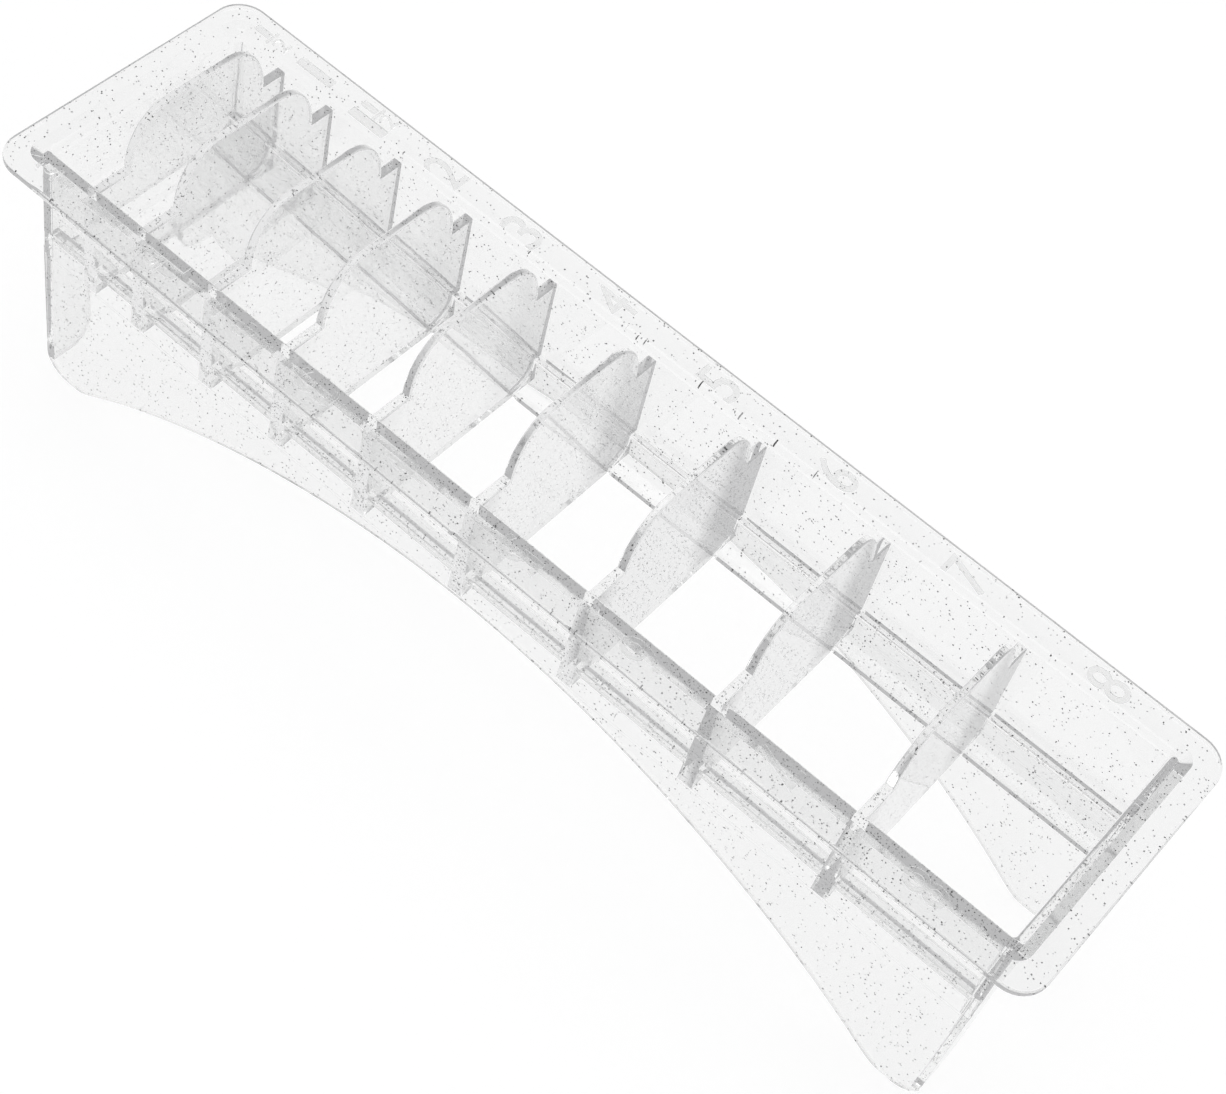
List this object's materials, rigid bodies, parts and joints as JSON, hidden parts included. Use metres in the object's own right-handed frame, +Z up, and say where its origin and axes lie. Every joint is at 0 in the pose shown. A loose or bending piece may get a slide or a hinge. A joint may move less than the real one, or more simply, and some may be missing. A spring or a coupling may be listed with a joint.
{
  "type": "clipper guide comb storage tray",
  "caption": "Clear plastic salon tray with a flat numbered rim, slots that widen from one end to the other for clipper guide combs, and arched sides on four feet.",
  "frame": {"origin": "on the standing surface, under the middle of the rim", "axes": "+X along the tray from the narrow slots to the wide ones, +Y from front to back, +Z up"},
  "size_m": [0.315, 0.0852, 0.0989],
  "materials": {
    "clear_plastic": "clear moulded plastic with fine glitter flecks, glossy"
  },
  "bodies": {
    "root": {"divider_01": "clear_plastic", "divider_02": "clear_plastic", "divider_03": "clear_plastic", "divider_04": "clear_plastic", "divider_05": "clear_plastic", "divider_06": "clear_plastic", "divider_07": "clear_plastic", "divider_08": "clear_plastic", "divider_09": "clear_plastic", "end_wall_left": "clear_plastic", "end_wall_right": "clear_plastic", "ledge_back_01": "clear_plastic", "ledge_back_02": "clear_plastic", "ledge_back_03": "clear_plastic", "ledge_back_04": "clear_plastic", "ledge_back_05": "clear_plastic", "ledge_back_06": "clear_plastic", "ledge_back_07": "clear_plastic", "ledge_back_08": "clear_plastic", "ledge_back_09": "clear_plastic", "ledge_back_10": "clear_plastic", "ledge_front_01": "clear_plastic", "ledge_front_02": "clear_plastic", "ledge_front_03": "clear_plastic", "ledge_front_04": "clear_plastic", "ledge_front_05": "clear_plastic", "ledge_front_06": "clear_plastic", "ledge_front_07": "clear_plastic", "ledge_front_08": "clear_plastic", "ledge_front_09": "clear_plastic", "ledge_front_10": "clear_plastic", "leg_back_left": "clear_plastic", "leg_back_right": "clear_plastic", "leg_front_left": "clear_plastic", "leg_front_right": "clear_plastic", "leg_web_back_left": "clear_plastic", "leg_web_back_right": "clear_plastic", "leg_web_front_left": "clear_plastic", "leg_web_front_right": "clear_plastic", "rim_back": "clear_plastic", "rim_front": "clear_plastic", "rim_left": "clear_plastic", "rim_right": "clear_plastic", "side_wall_back": "clear_plastic", "side_wall_front": "clear_plastic"}
  },
  "joints": []
}
